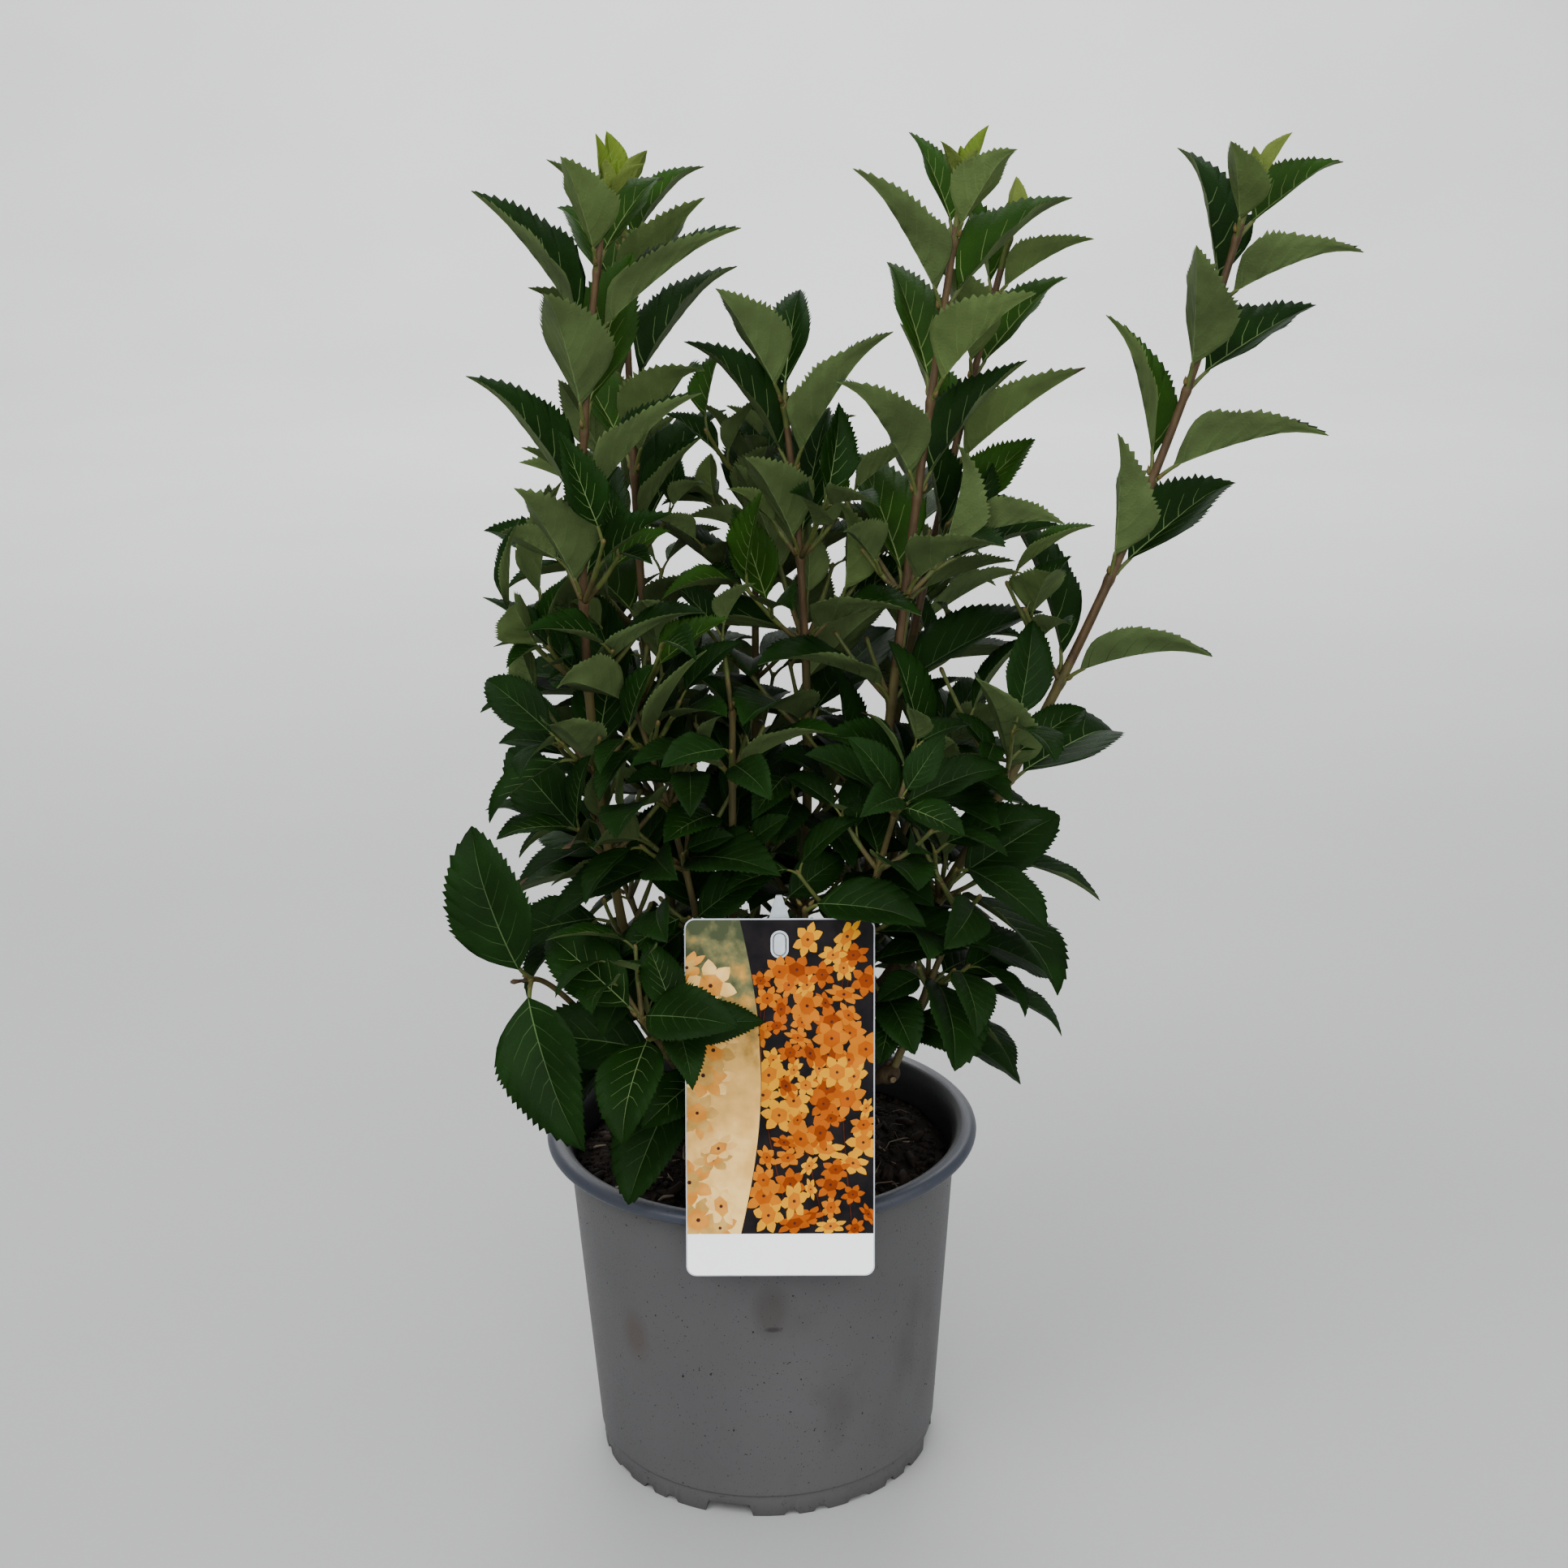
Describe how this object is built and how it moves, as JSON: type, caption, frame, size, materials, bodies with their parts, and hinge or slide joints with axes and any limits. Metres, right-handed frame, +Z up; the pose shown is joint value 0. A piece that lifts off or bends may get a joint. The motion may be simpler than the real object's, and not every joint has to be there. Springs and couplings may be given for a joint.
{
  "type": "potted forsythia shrub",
  "caption": "Young forsythia shrub in a round nursery pot: pruned woody boughs carry upright leafy shoots with toothed leaves in opposite pairs, with a picture label on a stick.",
  "frame": {"origin": "centre of the pot's flat underside, on the surface that it stands on", "axes": "+Z up along the pot's axis; -Y is the front, where the label hangs; +X to the right as seen from the front"},
  "size_m": [0.3624, 0.2696, 0.5799],
  "materials": {
    "pot": "moulded grey plastic, matt, with a slightly bluer rim",
    "soil": "damp dark potting soil with bits of bark",
    "label_card": "thin plastic card, printed with a plain design of yellow and orange blossoms",
    "label_stick": "milky translucent plastic",
    "bark": "ridged yellow-brown bark with raised pores",
    "leaves": "dark green above with pale veins, matt grey-green below"
  },
  "bodies": {
    "root": {"pot": "pot", "soil": "soil", "label_card": "label_card", "label_stick": "label_stick", "root_crown": "bark", "bough_left": "bark", "bough_left_rear": "bark", "bough_centre": "bark", "bough_front_left": "bark", "bough_front_right": "bark", "bough_right": "bark", "bough_right_rear": "bark", "bough_far_right": "bark", "bough_low_left": "bark", "bough_low_right": "bark", "bough_rear": "bark", "bough_low_rear": "bark", "foliage_left_tall": "leaves", "foliage_left_rear_tall": "leaves", "foliage_centre_tall": "leaves", "foliage_right_tall": "leaves", "foliage_right_rear_tall": "leaves", "foliage_far_right_tall": "leaves", "foliage_front_left_high": "leaves", "foliage_front_left_mid": "leaves", "foliage_front_right": "leaves", "foliage_front_low": "leaves", "foliage_low_far_left": "leaves", "foliage_low_left": "leaves", "foliage_low_right": "leaves", "foliage_left_low": "leaves", "foliage_centre_low": "leaves", "foliage_right_low": "leaves", "foliage_rear_centre": "leaves", "foliage_rear_left": "leaves", "foliage_rear_right": "leaves", "foliage_rear_low": "leaves", "foliage_low_rear_left": "leaves", "foliage_low_rear_right": "leaves"}
  },
  "joints": []
}
